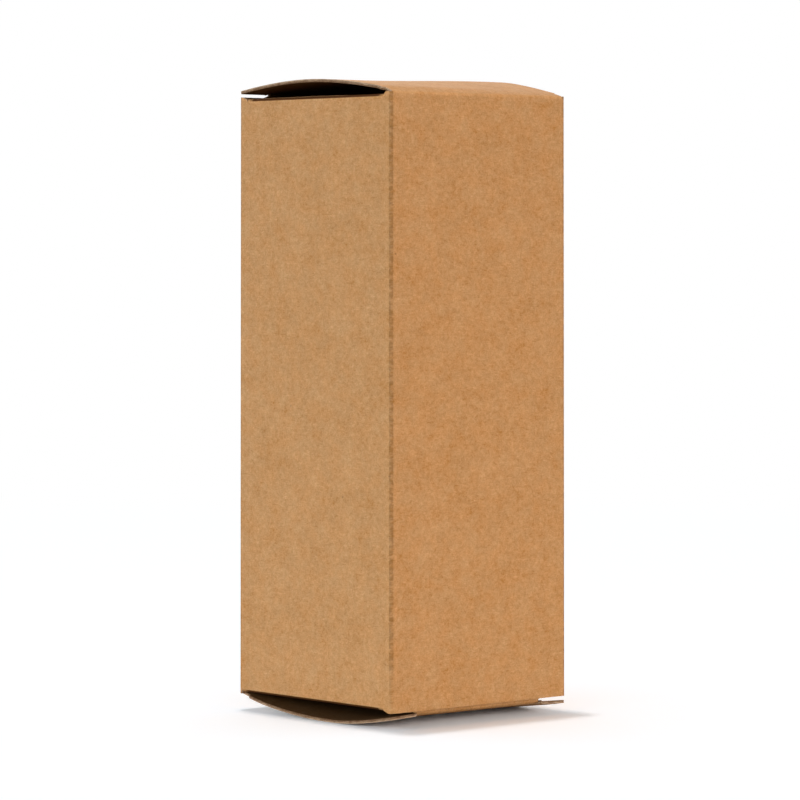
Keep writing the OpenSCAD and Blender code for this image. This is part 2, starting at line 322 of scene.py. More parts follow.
def board_mesh(name, sheet, ragged, is_seam, fibres, fibre_places, seed):
    """Closed mesh of a piece of board: outer face, inner face and cut edges in thin layers."""
    corners, quads = sheet.joined()
    outer, inner, flat, crease, press_and_shade = np.split(corners, [3, 6, 8, 9], axis=1)
    seam = np.array([is_seam(p) for p in (outer + inner) / 2])
    outer, inner = skewed(outer), skewed(inner)
    count = len(corners)
    edges = edge_loops(quads)
    rim = np.unique(edges)
    middle = (outer + inner) / 2
    normal = outer - inner
    normal /= np.linalg.norm(normal, axis=1)[:, None]

    outward = np.zeros_like(outer)
    for a, b in edges:
        away = np.cross(middle[b] - middle[a], normal[a])
        away /= max(np.linalg.norm(away), 1e-9)
        outward[a] += away
        outward[b] += away
    length = np.linalg.norm(outward, axis=1)[:, None]
    outward = outward / np.maximum(length, 1e-9)

    free = np.where(seam[rim], 0.0, 1.0)
    levels = []
    for level in range(RIM_LEVELS + 1):
        share = level / RIM_LEVELS
        place = outer[rim] * (1 - share) + inner[rim] * share
        amount = ragged * free * raggedness(middle[rim], level)
        levels.append(place + outward[rim] * amount[:, None])
    outer[rim] = levels[0]
    inner[rim] = levels[-1]

    points = [outer, inner] + levels[1:-1]
    depth = [np.full(count, 0.5), np.full(count, -0.5)]
    depth += [np.full(len(rim), 0.5 - k / RIM_LEVELS) for k in range(1, RIM_LEVELS)]
    flats = [flat, flat] + [flat[rim]] * (RIM_LEVELS - 1)
    creases = [crease, crease] + [crease[rim]] * (RIM_LEVELS - 1)
    presses_and_shades = [press_and_shade, press_and_shade] + [press_and_shade[rim]] * (RIM_LEVELS - 1)
    slot_of = np.full(count, -1)
    slot_of[rim] = np.arange(len(rim))

    def level_index(vertex, level):
        if level == 0:
            return vertex
        if level == RIM_LEVELS:
            return count + vertex
        return 2 * count + (level - 1) * len(rim) + slot_of[vertex]

    faces = quads.tolist() + (quads[:, ::-1] + count).tolist()
    cut = [0.0] * len(faces)
    for a, b in edges:
        for level in range(RIM_LEVELS):
            faces.append([level_index(b, level), level_index(a, level),
                          level_index(a, level + 1), level_index(b, level + 1)])
            cut.append(1.0)

    rng = np.random.default_rng(seed)
    near = [i for i in rim if fibre_places(middle[i])]
    tubes, tube_faces, places = fibre_tubes(
        rng, middle[near], outward[near], normal[near], flat[near], fibres)
    start = sum(len(p) for p in points)
    points.append(tubes)
    depth.append(np.zeros(len(tubes)))
    flats.append(places)
    creases.append(np.full((len(tubes), 1), FAR_FROM_CREASE))
    presses_and_shades.append(np.zeros((len(tubes), 1)))
    faces += [[start + i for i in face] for face in tube_faces]
    cut += [1.0] * len(tube_faces)

    mesh = bpy.data.meshes.new(name)
    mesh.from_pydata((np.concatenate(points) * MM).tolist(), [], faces)
    place = np.column_stack([np.concatenate(flats), np.concatenate(depth)]).astype(np.float32)
    mesh.attributes.new("sheet", "FLOAT_VECTOR", "POINT").data.foreach_set("vector", place.ravel())
    # Each point's strength of the pressed line, and of the painted shade it carries, goes into an attribute
    for label, values in (("crease", creases), ("press_and_shade", presses_and_shades)):
        values = np.concatenate(values).astype(np.float32)
        mesh.attributes.new(label, "FLOAT", "POINT").data.foreach_set("value", values.ravel())
    mesh.attributes.new("cut", "FLOAT", "FACE").data.foreach_set("value", np.array(cut, np.float32))
    mesh.polygons.foreach_set("use_smooth", [True] * len(faces))
    mesh.set_sharp_from_angle(angle=math.radians(SHARP_ANGLE))
    mesh.update()
    piece = bpy.data.objects.new(name, mesh)
    bpy.context.scene.collection.objects.link(piece)
    return piece


# The sleeve

def wall_path():
    """Corners of the board's middle line in plan, from the glue flap's free edge round to the seam."""
    x = HALF_W - BOARD / 2
    y = HALF_D - BOARD / 2
    glue_x = HALF_W - BOARD - GLUE_T - BOARD / 2
    glue_start = HALF_D - GLUE_FLAP_W
    return np.array([
        [glue_x, glue_start], [glue_x, y], [-x, y], [-x, -y], [x, -y], [x, HALF_D - SEAM_SETBACK]])


WALLS = ["glue", "back", "left", "front", "right"]
FLANKS = [0.08, 0.2, 0.34, 0.48, 0.62, 0.9, 1.3]

# One column of the sleeve's grid: its middle point in plan, normal, place along the sheet, distance from
# the nearest fold's middle, wall, and inner point
Column = namedtuple("Column", "place normal along crease wall inner")


def special_places(wall):
    """Where a wall's ends step, along the wall's own axis."""
    gap = 0.02
    if wall in ("front", "back"):
        marks = [-CREASE_HALF, CREASE_HALF]
    elif wall in ("left", "right"):
        marks = [end * y for end in (1, -1) for y in (DUST_HINGE_Y[end], DUST_TUCK_Y)]
    else:
        marks = []
    return [mark + side * gap for mark in marks for side in (-1, 1)]


def bead_point(centre, before, after, offset):
    """Inner point of the board near a wall's fold, at a length along the sheet from the fold's middle."""
    reach = WALL_BEAD_REACH + WALL_FOLD_R * math.pi / 4
    setback = BOARD / 2 - WALL_FOLD_R
    first = math.atan2(setback, WALL_BEAD_REACH)
    angle = first + (math.pi / 2 - 2 * first) * (offset + reach) / (2 * reach)
    walls = (setback / math.sin(angle)) ** 8 + (setback / math.cos(angle)) ** 8
    radius = (walls + WALL_BEAD_R**8) ** (1 / 8)
    return centre - radius * (math.cos(angle) * after + math.sin(angle) * before)


def wall_columns():
    """Columns of the sleeve's grid, from the glue flap's free edge round to the seam."""
    path = wall_path()
    turn_length = WALL_FOLD_R * math.pi / 2
    columns = []
    along_sheet = 0.0
    for k, wall in enumerate(WALLS):
        start, end = path[k], path[k + 1]
        heading = (end - start) / np.linalg.norm(end - start)
        outward = np.array([heading[1], -heading[0]])
        first = start + heading * (WALL_FOLD_R if k > 0 else 0)
        last = end - heading * (WALL_FOLD_R if k < len(WALLS) - 1 else 0)
        length = np.linalg.norm(last - first)
        places = set(np.round(steps_between(0, length, WALL_STEP), 4).tolist())
        if k > 0:
            places |= set(FLANKS)
        if k < len(WALLS) - 1:
            places |= {length - flank for flank in FLANKS}
        axis = 0 if abs(heading[0]) > 0.5 else 1
        places |= {(mark - first[axis]) * heading[axis] for mark in special_places(wall)}
        places = sorted(p for p in places if 0 <= p <= length)
        spaced = [places[0]]
        for p in places[1:]:
            if p - spaced[-1] > 0.015:
                spaced.append(p)
        for p in spaced:
            past = p if k > 0 else FAR_FROM_CREASE
            left = length - p if k < len(WALLS) - 1 else FAR_FROM_CREASE
            near = min(past, left) + turn_length / 2
            place = first + heading * p
            inner = place - outward * BOARD / 2
            if past < WALL_BEAD_REACH:
                inner = bead_point(first - outward * WALL_FOLD_R, -heading, outward, past + turn_length / 2)
            elif left < WALL_BEAD_REACH:
                inner = bead_point(last - outward * WALL_FOLD_R, outward, heading, -left - turn_length / 2)
            columns.append(Column(place, outward, along_sheet + p, near, wall, inner))
        along_sheet += length
        if k < len(WALLS) - 1:
            centre = last - outward * WALL_FOLD_R
            for step in range(1, FOLD_STEPS):
                angle = math.pi / 2 * step / FOLD_STEPS
                normal = outward * math.cos(angle) + heading * math.sin(angle)
                place = centre + normal * WALL_FOLD_R
                arc = turn_length * step / FOLD_STEPS
                near = abs(arc - turn_length / 2)
                inner = bead_point(centre, outward, heading, arc - turn_length / 2)
                columns.append(Column(place, normal, along_sheet + arc, near, "corner", inner))
            along_sheet += turn_length
    return columns


def end_lift(column, end):
    """How far a column reaches beyond the dust creases at the top (end 1) or the bottom (end -1)."""
    (x, y), wall = column.place, column.wall
    y *= end
    if wall == "glue":
        from_fold = HALF_D - BOARD - column.place[1]
        return -GLUE_FLAP_END - max(from_fold, 0) * math.tan(math.radians(GLUE_FLAP_TAPER))
    hinge_side = y < 0
    lift = CORNER_LIFT if hinge_side else CUT_EDGE_LIFT
    if wall in ("front", "back") and abs(x) < CREASE_HALF:
        return -LIP if hinge_side else lift
    if wall in ("left", "right"):
        if DUST_HINGE_Y[end] < y < DUST_TUCK_Y:
            return -(BOARD / 2 + CREASE_R)
        from_flap = DUST_HINGE_Y[end] - y if hinge_side else y - DUST_TUCK_Y
        room = HALF_D - BOARD - DUST_TUCK_Y
        return lift * float(smoothstep(from_flap / (0.3 if hinge_side else room)))
    return lift


def dust_flap_edges(reach, end):
    """The dust flap's two side edges in y, at a distance from its wall's outer face."""
    taper = math.tan(math.radians(DUST_TAPER))
    notch = (DUST_HINGE_CLEAR - DUST_HINGE_Y[end]) * smoothstep((reach - BOARD) / 1.0)
    low = DUST_HINGE_Y[end] + notch + max(reach - BOARD, 0) * taper
    past_shoulder = reach - BOARD - DUST_SHOULDER
    high = DUST_TUCK_Y - min(max(past_shoulder, 0), DUST_CUT) - max(past_shoulder - DUST_CUT, 0) * taper
    past_round = reach - (DUST_LEN - DUST_TIP_R)
    if past_round > 0:
        pull = DUST_TIP_R - math.sqrt(max(DUST_TIP_R**2 - past_round**2, 0))
        low += pull
        high -= pull
    return low, high


def add_dust_flap(sheet, columns, end):
    """One dust flap, from the bend's start at its wall to its tip. The columns go on from the wall's own."""
    z_crease = Z_TOP if end > 0 else Z_BOTTOM
    turn_length = CREASE_R * math.pi / 2
    straight = [0.1, 0.3, 0.6, 1.0, 1.7, 2.4, DUST_SHOULDER - 0.03, DUST_SHOULDER + 0.03]
    straight += list(steps_between(DUST_SHOULDER + 0.5, DUST_SHOULDER + DUST_CUT, 0.7))
    straight += list(steps_between(DUST_SHOULDER + DUST_CUT + 0.6, DUST_LEN - BOARD - DUST_TIP_R, 0.7))
    tip = [DUST_LEN - BOARD - DUST_TIP_R * (1 - math.sin(math.radians(angle)))
           for angle in (15, 30, 45, 60, 72, 82, 90)]
    rows = [("turn", turn_length * k / FOLD_STEPS) for k in range(FOLD_STEPS + 1)]
    rows += [("flat", s) for s in straight + tip]
    y_of = [c.place[1] * end for c in columns]
    shares = [(y - DUST_HINGE_Y[end]) / (DUST_TUCK_Y - DUST_HINGE_Y[end]) for y in y_of]
    # A dust crease's dark line is painted shade under the closure, fading out at both ends of the flap
    press_and_shade = [DUST_PAINTED_SHADE * smoothstep(share / 0.05) * smoothstep((1 - share) / 0.05) for share in shares]
    outer, inner, flat, crease = [], [], [], []
    for kind, s in rows:
        for column, y, share in zip(columns, y_of, shares):
            place, outward, u = column.place, column.normal, column.along
            wall_normal = np.array([outward[0], outward[1], 0.0])
            up = np.array([0.0, 0.0, end])
            centre = np.array([place[0], place[1], z_crease])
            centre = centre - wall_normal * CREASE_R - up * (BOARD / 2 + CREASE_R)
            if kind == "turn":
                angle = s / CREASE_R
                normal = wall_normal * math.cos(angle) + up * math.sin(angle)
                middle = centre + normal * CREASE_R
                distance = abs(s - turn_length / 2)
                v = s
            else:
                normal = up
                reach = BOARD + s
                low, high = dust_flap_edges(reach, end)
                sprung = DUST_RISE * smoothstep(s / DUST_RISE_OVER) * smoothstep(share / 0.5)
                middle = centre + up * (CREASE_R + sprung) - wall_normal * s
                middle[1] = end * (low + share * (high - low))
                u = u + (middle[1] - place[1]) * (1 if outward[0] > 0 else -1)
                distance = s + turn_length / 2
                v = turn_length + s
            outer.append(middle + normal * BOARD / 2)
            bead = inner_relief(distance) if s > 0 else 0.0
            inner.append(middle - normal * (BOARD / 2 + bead))
            flat.append([u, z_crease + end * (v - BOARD / 2 - CREASE_R)])
            on_flap = max(v - turn_length / 2, 0)
            # The painted shade of the dust crease reaches narrowly up its wall and spreads over the flap's
            # rise
            crease.append((distance - on_flap * (1 - DUST_SPREAD)) * DUST_NARROW)
    shape = (len(rows), len(columns))
    arrays = [np.array(a).reshape(shape + (-1,)) for a in (outer, inner, flat)]
    arrays.append(np.array(crease).reshape(shape))
    if end < 0:
        arrays = [a[::-1] for a in arrays]
    sheet.add(*arrays, np.array(press_and_shade))


def sleeve_board():
    """The four walls, the glue flap and the four dust flaps."""
    columns = wall_columns()
    middle = np.array([c.place for c in columns])
    normal = np.array([c.normal for c in columns])
    along = np.array([c.along for c in columns])
    crease = np.array([c.crease for c in columns])
    low = np.array([Z_BOTTOM - end_lift(c, -1) for c in columns])
    high = np.array([Z_TOP + end_lift(c, 1) for c in columns])

    near_end = np.array([0.0, 0.12, 0.3, 0.6])
    inside = steps_between(Z_BOTTOM + 2.2, Z_TOP - 2.2, ROW_STEP)
    glue = np.array([c.wall == "glue" for c in columns])
    glue_start, glue_stop = low[glue] + 1.2, high[glue] - 1.2
    levels = [low + k for k in near_end]
    for z, share in zip(inside, np.linspace(0, 1, len(inside))):
        level = np.full(len(columns), z)
        level[glue] = glue_start + (glue_stop - glue_start) * share
        levels.append(level)
    levels += [high - k for k in near_end[::-1]]
    z = np.array(levels)

    shape = z.shape
    distance = np.broadcast_to(crease, shape)
    skin = middle + normal * (BOARD / 2 + outer_relief(crease))[:, None]
    lining = np.array([c.inner for c in columns])
    outer = np.dstack([np.broadcast_to(skin[:, 0], shape), np.broadcast_to(skin[:, 1], shape), z])
    inner = np.dstack([np.broadcast_to(lining[:, 0], shape), np.broadcast_to(lining[:, 1], shape), z])
    flat = np.dstack([np.broadcast_to(along, shape), z])
    near_edge = (middle[:, 0] < 0) & (middle[:, 1] < 0)
    # The near edge's pressed line and its painted shade grow fainter towards the foot; other folds take full
    # strength
    press_and_shade = np.where(near_edge, FOOT_PRESS_AND_SHADE + (1 - FOOT_PRESS_AND_SHADE) * smoothstep((z - 3) / 9), 1.0)

    sheet = Sheet()
    sheet.add(outer, inner, flat, distance, press_and_shade)
    for wall in ("left", "right"):
        for end in (1, -1):
            own = [c for c in columns
                   if c.wall == wall and DUST_HINGE_Y[end] < c.place[1] * end < DUST_TUCK_Y]
            add_dust_flap(sheet, own, end)

    def is_seam(p):
        at_top = abs(p[2] - (Z_TOP - LIP)) < 0.01 and p[1] < 0
        at_bottom = abs(p[2] - (Z_BOTTOM + LIP)) < 0.01 and p[1] > 0
        return (at_top or at_bottom) and abs(p[0]) < CREASE_HALF

    def frayed(p):
        return p[1] < -HALF_D + 1 and p[2] < Z_BOTTOM

    return board_mesh("carton_sleeve", sheet, SLEEVE_RAGGED, is_seam, fibres=14, fibre_places=frayed, seed=5)


# The closures, in the frame of one end

def between_ends(pair, x):
    """Value at x of what is given at the left and the right end of a tuck fold."""
    return pair[0] + (pair[1] - pair[0]) * (np.clip(x, -SLIT_HALF, SLIT_HALF) + SLIT_HALF) / (2 * SLIT_HALF)


def fold_level(x, fold_h, ear_h):
    """Height of the tuck crease at x: straight between the slits, then a step to the ear's line."""
    level = between_ends(fold_h, x)
    past = np.abs(x) - SLIT_HALF
    share = np.clip(past / (CLOSURE_HALF - SLIT_HALF), 0, 1)
    at_slit = np.where(x < 0, ear_h[0][0], ear_h[1][0])
    at_tip = np.where(x < 0, ear_h[0][1], ear_h[1][1])
    return level + (at_slit + (at_tip - at_slit) * share - level) * smoothstep(past / EAR_STEP)


def fold_centre(level, fall):
    """Centre of the tuck fold, which leaves the panel at its slope and meets the tuck flap's curl."""
    z = level - BOARD / 2 - TUCK_FOLD_R * math.cos(fall)
    reach = np.sqrt((TUCK_CURL_R - TUCK_FOLD_R) ** 2 - (z - HINGE_Z) ** 2)
    return HINGE_Y + reach, z


def hermite(y, knots):
    """Height and slope at y of a smooth curve through knots (y, z, slope as a rise per length)."""
    z = np.zeros_like(y)
    slope = np.zeros_like(y)
    for (y0, z0, s0), (y1, z1, s1) in zip(knots[:-1], knots[1:]):
        span = y1 - y0
        t = np.clip((y - y0) / span, 0, 1)
        here = (y >= y0 - 1e-6) & (y <= y1 + 1e-6)
        value = ((2 * t**3 - 3 * t**2 + 1) * z0 + (t**3 - 2 * t**2 + t) * span * s0
                 + (3 * t**2 - 2 * t**3) * z1 + (t**3 - t**2) * span * s1)
        rate = ((6 * t**2 - 6 * t) * (z0 - z1) / span + (3 * t**2 - 4 * t + 1) * s0 + (3 * t**2 - 2 * t) * s1)
        z = np.where(here, value, z)
        slope = np.where(here, rate, slope)
    return z, slope


def panel_knots(side, end_y, end_z):
    """Knots of the panel's middle line along one side's profile."""
    rise, outer, fall = side
    knots = [(HINGE_Y, HINGE_Z, math.tan(math.radians(rise)))]
    for share, height, slope in outer:
        knots.append((-HALF_D + 2 * HALF_D * share, height - BOARD / 2, math.tan(math.radians(slope))))
    return knots + [(end_y, end_z, -math.tan(math.radians(fall)))]


def closure_board(name, left, right, fold_h, ear_h, place, fibres, seed):
    """One closure with its crease, ears and tuck flap. place() puts the end's points on the carton."""
    rise = math.radians((left[0] + right[0]) / 2)
    fall = math.radians((left[2] + right[2]) / 2)
    columns = steps_between(-CLOSURE_HALF, -SLIT_HALF, CLOSURE_STEP).tolist()
    columns += steps_between(-SLIT_HALF, SLIT_HALF, CLOSURE_STEP).tolist()
    columns += steps_between(SLIT_HALF, CLOSURE_HALF, CLOSURE_STEP).tolist()
    columns = np.unique(np.round(columns, 5))
    level = fold_level(columns, fold_h, ear_h)
    centre_y, centre_z = fold_centre(level, fall)
    end_y = centre_y + TUCK_FOLD_R * math.sin(fall)
    end_z = centre_z + TUCK_FOLD_R * math.cos(fall)

    turn = math.pi / 2 - rise
    tangent = CREASE_R * math.tan(turn / 2)
    lip_z = [-LIP, -LIP + 0.12, -LIP + 0.25, HINGE_Z - tangent - 0.05, HINGE_Z - tangent]
    panel = np.concatenate([[0.0, 0.003, 0.007, 0.012, 0.018, 0.026, 0.036],
                            steps_between(0.045, 1, CLOSURE_STEP / (2 * HALF_D))])

    lines, half_widths, along = [], [], []
    zeros = np.zeros_like(columns)
    for z in lip_z:
        lines.append((zeros + HINGE_Y, zeros + z, zeros - 1.0, zeros))
        half_widths.append(LIP_HALF)
        along.append(z - (HINGE_Z - tangent))
    turn_length = CREASE_R * turn
    turn_y, turn_z = HINGE_Y + CREASE_R, HINGE_Z - tangent
    for step in range(1, FOLD_STEPS):
        angle = turn * step / FOLD_STEPS
        ny, nz = -math.cos(angle), math.sin(angle)
        lines.append((zeros + turn_y + CREASE_R * ny, zeros + turn_z + CREASE_R * nz, zeros + ny, zeros + nz))
        half_widths.append(LIP_HALF)
        along.append(turn_length * step / FOLD_STEPS)
    start_y = HINGE_Y + tangent * math.cos(rise)
    fuller = smoothstep((columns - FULLER_FROM) / (FULLER_TO - FULLER_FROM))
    knots_left = panel_knots(left, end_y, end_z)
    knots_right = panel_knots(right, end_y, end_z)
    for share in panel:
        y = start_y + (end_y - start_y) * share
        z_left, slope_left = hermite(y, knots_left)
        z_right, slope_right = hermite(y, knots_right)
        z = z_left + (z_right - z_left) * fuller
        slope = slope_left + (slope_right - slope_left) * fuller
        norm = np.sqrt(1 + slope**2)
        lines.append((y, z, -slope / norm, 1 / norm))
        from_hinge = float(np.mean(y)) - start_y
        half_widths.append(CLOSURE_HALF if from_hinge > CREASE_NOTCH else LIP_HALF)
        along.append(turn_length + from_hinge)

    sheet = Sheet()

    def grid(lines, xs, along, distances, press_and_shade, keep=None):
        outer, inner, flat, crease = [], [], [], []
        for (y, z, ny, nz), x, s, distance in zip(lines, xs, along, distances):
            middle = np.column_stack([x, y, z])
            normal = np.column_stack([np.zeros_like(x), ny, nz])
            d = np.broadcast_to(distance, x.shape)
            out, inn = both_faces(middle, normal, d)
            outer.append(place(out))
            inner.append(place(inn))
            flat.append(np.column_stack([x, np.broadcast_to(s, x.shape)]))
            crease.append(d)
        sheet.add(np.array(outer), np.array(inner), np.array(flat), np.array(crease), press_and_shade, keep)

    along = np.array(along)
    panel_length = float(along[-1])
    xs = [columns * half / CLOSURE_HALF for half in half_widths]
    distances = np.abs(along - turn_length / 2)
    fold_length = TUCK_FOLD_R * (math.pi / 2)
    distances = np.minimum(distances, panel_length - along + fold_length / 2)
    grid(lines, xs, along, distances, 0.0)

    # Ears go straight on past the slits
    for side in (-1, 1):
        pick = side * columns >= SLIT_HALF - 1e-6
        to_tip = np.clip(1 - (CLOSURE_HALF - np.abs(columns[pick])) / EAR_ROUND, 0, 1)
        rounded = EAR_ROUND * (1 - np.sqrt(1 - to_tip**2))
        reach = (HALF_D - EAR_SETBACK - BOARD / 2 * math.sin(fall) - end_y[pick] - rounded) / math.cos(fall)
        ear_lines, ear_along, ear_distances = [], [], []
        for share in (0, 0.35, 0.7, 1.0):
            s = reach * share
            ear_lines.append((end_y[pick] + s * math.cos(fall), end_z[pick] - s * math.sin(fall),
                              np.full_like(s, math.sin(fall)), np.full_like(s, math.cos(fall))))
            ear_along.append(panel_length + s)
            ear_distances.append(np.full_like(s, fold_length / 2) if share == 0 else FAR_FROM_CREASE)
        grid(ear_lines, [columns[pick]] * 4, ear_along, ear_distances, 0.0)

    # The tuck fold and the tuck flap, curled round the closure's crease
    tuck_columns = np.concatenate([[-TUCK_HALF], columns[np.abs(columns) < TUCK_HALF - 0.1], [TUCK_HALF]])
    level = fold_level(np.clip(tuck_columns, -SLIT_HALF, SLIT_HALF), fold_h, ear_h)
    centre_y, centre_z = fold_centre(level, fall)
    meet = np.arctan2(centre_z - HINGE_Z, centre_y - HINGE_Y)
    tuck_lines, tuck_along, tuck_distances, tuck_xs = [], [], [], []
    for step in range(FOLD_STEPS + 1):
        angle = math.pi / 2 - fall + (meet - math.pi / 2 + fall) * step / FOLD_STEPS
        ny, nz = np.cos(angle), np.sin(angle)
        tuck_lines.append((centre_y + TUCK_FOLD_R * ny, centre_z + TUCK_FOLD_R * nz, ny, nz))
        s = fold_length * step / FOLD_STEPS
        tuck_along.append(panel_length + s)
        tuck_distances.append(abs(s - fold_length / 2))
        tuck_xs.append(tuck_columns)
    flap = np.concatenate([steps_between(SHOULDER_START, SHOULDER_END, 0.3),
                           steps_between(SHOULDER_END + 0.4, TUCK_LEN - TUCK_CORNER_R, 0.5),
                           TUCK_LEN - TUCK_CORNER_R * (1 - np.sin(np.radians(steps_between(4, 90, 4))))])
    shoulder = SHOULDER_SLOPE * np.maximum(np.abs(tuck_columns) - SLIT_HALF, 0)
    for s in flap:
        left_over = np.clip((SHOULDER_END - s) / (SHOULDER_END - SHOULDER_START), 0, 1)
        angle = meet - (s + shoulder * left_over) / TUCK_CURL_R
        ny, nz = np.cos(angle), np.sin(angle)
        tuck_lines.append((HINGE_Y + TUCK_CURL_R * ny, HINGE_Z + TUCK_CURL_R * nz, ny, nz))
        tuck_along.append(panel_length + fold_length + s)
        tuck_distances.append(s + fold_length / 2)
        past = max(s - (TUCK_LEN - TUCK_CORNER_R), 0)
        half = TUCK_HALF - TUCK_CORNER_R + math.sqrt(max(TUCK_CORNER_R**2 - past**2, 0))
        tuck_xs.append(tuck_columns * half / TUCK_HALF)
    shoulder_row = FOLD_STEPS + 1
    keep = np.ones((len(tuck_lines) - 1, len(tuck_columns) - 1), bool)
    outside = np.abs((tuck_columns[1:] + tuck_columns[:-1]) / 2) > SLIT_HALF
    keep[:shoulder_row, outside] = False
    # The tuck fold takes a fainter pressed line with painted shade
    grid(tuck_lines, tuck_xs, tuck_along, tuck_distances, TUCK_PRESS_AND_SHADE, keep)

    seam_z = place(np.array([[0.0, HINGE_Y, -LIP]]))[0, 2]

    def is_seam(p):
        return abs(p[2] - seam_z) < 0.01

    def frayed(p):
        return abs(p[0]) > CLOSURE_HALF - 0.5

    return board_mesh(name, sheet, CLOSURE_RAGGED, is_seam, fibres, frayed, seed)


def at_top(points):
    """Puts points of an end's frame on the carton's top."""
    return points + np.array([0, 0, Z_TOP])


def at_bottom(points):
    """Puts points of an end's frame on the carton's bottom, which is the top turned over."""
    return points * np.array([1, -1, -1]) + np.array([0, 0, Z_BOTTOM])


# Materials

class Graph:
    """Small helper that builds the nodes of one material or of the world."""

    def __init__(self, owner):
        self.owner = owner
        owner.use_nodes = True
        self.tree = owner.node_tree
        self.tree.nodes.clear()

    def put(self, kind, inputs=None, **settings):
        node = self.tree.nodes.new(kind)
        for key, value in settings.items():
            setattr(node, key, value)
        for key, value in (inputs or {}).items():
            if isinstance(value, bpy.types.NodeSocket):
                self.tree.links.new(value, node.inputs[key])
            else:
                node.inputs[key].default_value = value
        return node

    def math(self, operation, a, b=0.0, clamp=False):
        return self.put("ShaderNodeMath", {0: a, 1: b}, operation=operation, use_clamp=clamp).outputs[0]

    def remap(self, value, low, high, to_low=0.0, to_high=1.0, smooth=True):
        kind = "SMOOTHSTEP" if smooth else "LINEAR"
        inputs = {"Value": value, "From Min": low, "From Max": high, "To Min": to_low, "To Max": to_high}
        return self.put("ShaderNodeMapRange", inputs, interpolation_type=kind).outputs[0]

    def noise(self, coords, scale, detail=2.0, roughness=0.5, distortion=0.0):
        inputs = {"Vector": coords, "Scale": scale, "Detail": detail, "Roughness": roughness,
                  "Distortion": distortion}
        return self.put("ShaderNodeTexNoise", inputs).outputs["Fac"]

    def stretched(self, coords, angle, scale):
        inputs = {"Vector": coords, "Rotation": (0, 0, math.radians(angle)), "Scale": scale}
        return self.put("ShaderNodeMapping", inputs).outputs[0]

    def mix(self, factor, a, b):
        inputs = {"Factor": factor, "A": a, "B": b}
        return self.put("ShaderNodeMix", inputs, data_type="RGBA").outputs["Result"]

    def attribute(self, name, output):
        return self.put("ShaderNodeAttribute", attribute_name=name).outputs[output]

    def seen_plainly(self):
        """1 for what the camera sees, also in a mirror or through glass, and 0 for rays that carry light."""
        path = self.put("ShaderNodeLightPath")
        seen = self.math("MAXIMUM", path.outputs["Is Camera Ray"], path.outputs["Is Glossy Ray"])
        return self.math("MAXIMUM", seen, path.outputs["Is Transmission Ray"])


# Kraft board: what one even step of lightness adds, its cooler and warmer patches, the colour of a pressed
# line with its painted shade, the share of colour that the inside keeps under painted shade, and the cut
# edge's dark and pale colours
LIGHTER = (1.48, 1.12, 0.72)
KRAFT_COOL = (0.51, 0.264, 0.098)
KRAFT_WARM = (0.53, 0.250, 0.079)
KRAFT_PRESSED_SHADED = (0.08, 0.028, 0.008)
INSIDE_SHADE_KEEPS = 0.21
CUT_DARK = (0.17, 0.085, 0.034)
CUT_PALE = (0.46, 0.31, 0.19)


